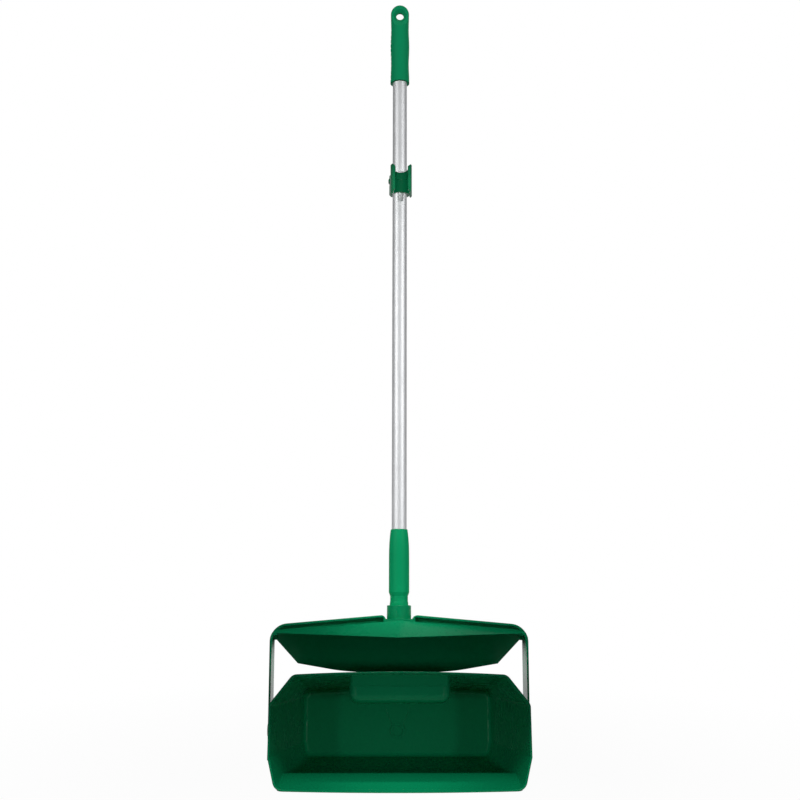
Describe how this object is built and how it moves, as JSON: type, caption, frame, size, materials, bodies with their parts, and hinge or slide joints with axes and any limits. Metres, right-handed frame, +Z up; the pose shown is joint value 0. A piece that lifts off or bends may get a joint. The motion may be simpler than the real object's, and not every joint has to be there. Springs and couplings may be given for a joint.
{
  "type": "upright dust pan",
  "caption": "Upright closable dust pan: a hinged scoop swings under a hood on a long tube handle with a brush clip and a hanging grip.",
  "frame": {"origin": "on the floor, on the mid plane, straight under the axis of the two side pivots", "axes": "+X to the right seen from the front, the scoop's mouth faces -Y, +Z up"},
  "size_m": [0.3708, 0.242, 1.1665],
  "materials": {
    "pan_green": "smooth moulded polypropylene",
    "hood_green": "smooth moulded polypropylene",
    "handle_green": "satin moulded polypropylene",
    "clip_green": "smooth moulded polypropylene",
    "pin_green": "satin moulded nylon",
    "washer_white": "plain acetal",
    "tube_aluminium": "drawn and anodised",
    "rivet_steel": "plain"
  },
  "bodies": {
    "handle": {"hood": "hood_green", "ferrule": "handle_green", "ferrule_rivet": "rivet_steel", "handle_tube": "tube_aluminium", "grip": "handle_green", "grip_rivet": "rivet_steel"},
    "pan": {"pan": "pan_green", "pivot_pin_left": "pin_green", "pivot_pin_right": "pin_green", "pivot_washer_left": "washer_white", "pivot_washer_right": "washer_white"},
    "clip": {"brush_clip": "clip_green"}
  },
  "joints": [
    {"name": "pan_tip", "type": "hinge", "parent": "handle", "child": "pan", "pos_m": [0, 0, 0.06], "axis": [-1, 0, 0], "range_deg": [0, 100]},
    {"name": "clip_slide", "type": "slide", "parent": "handle", "child": "clip", "axis": [0, 0.1045, 0.9945], "range_m": [-0.5, 0.144]}
  ]
}
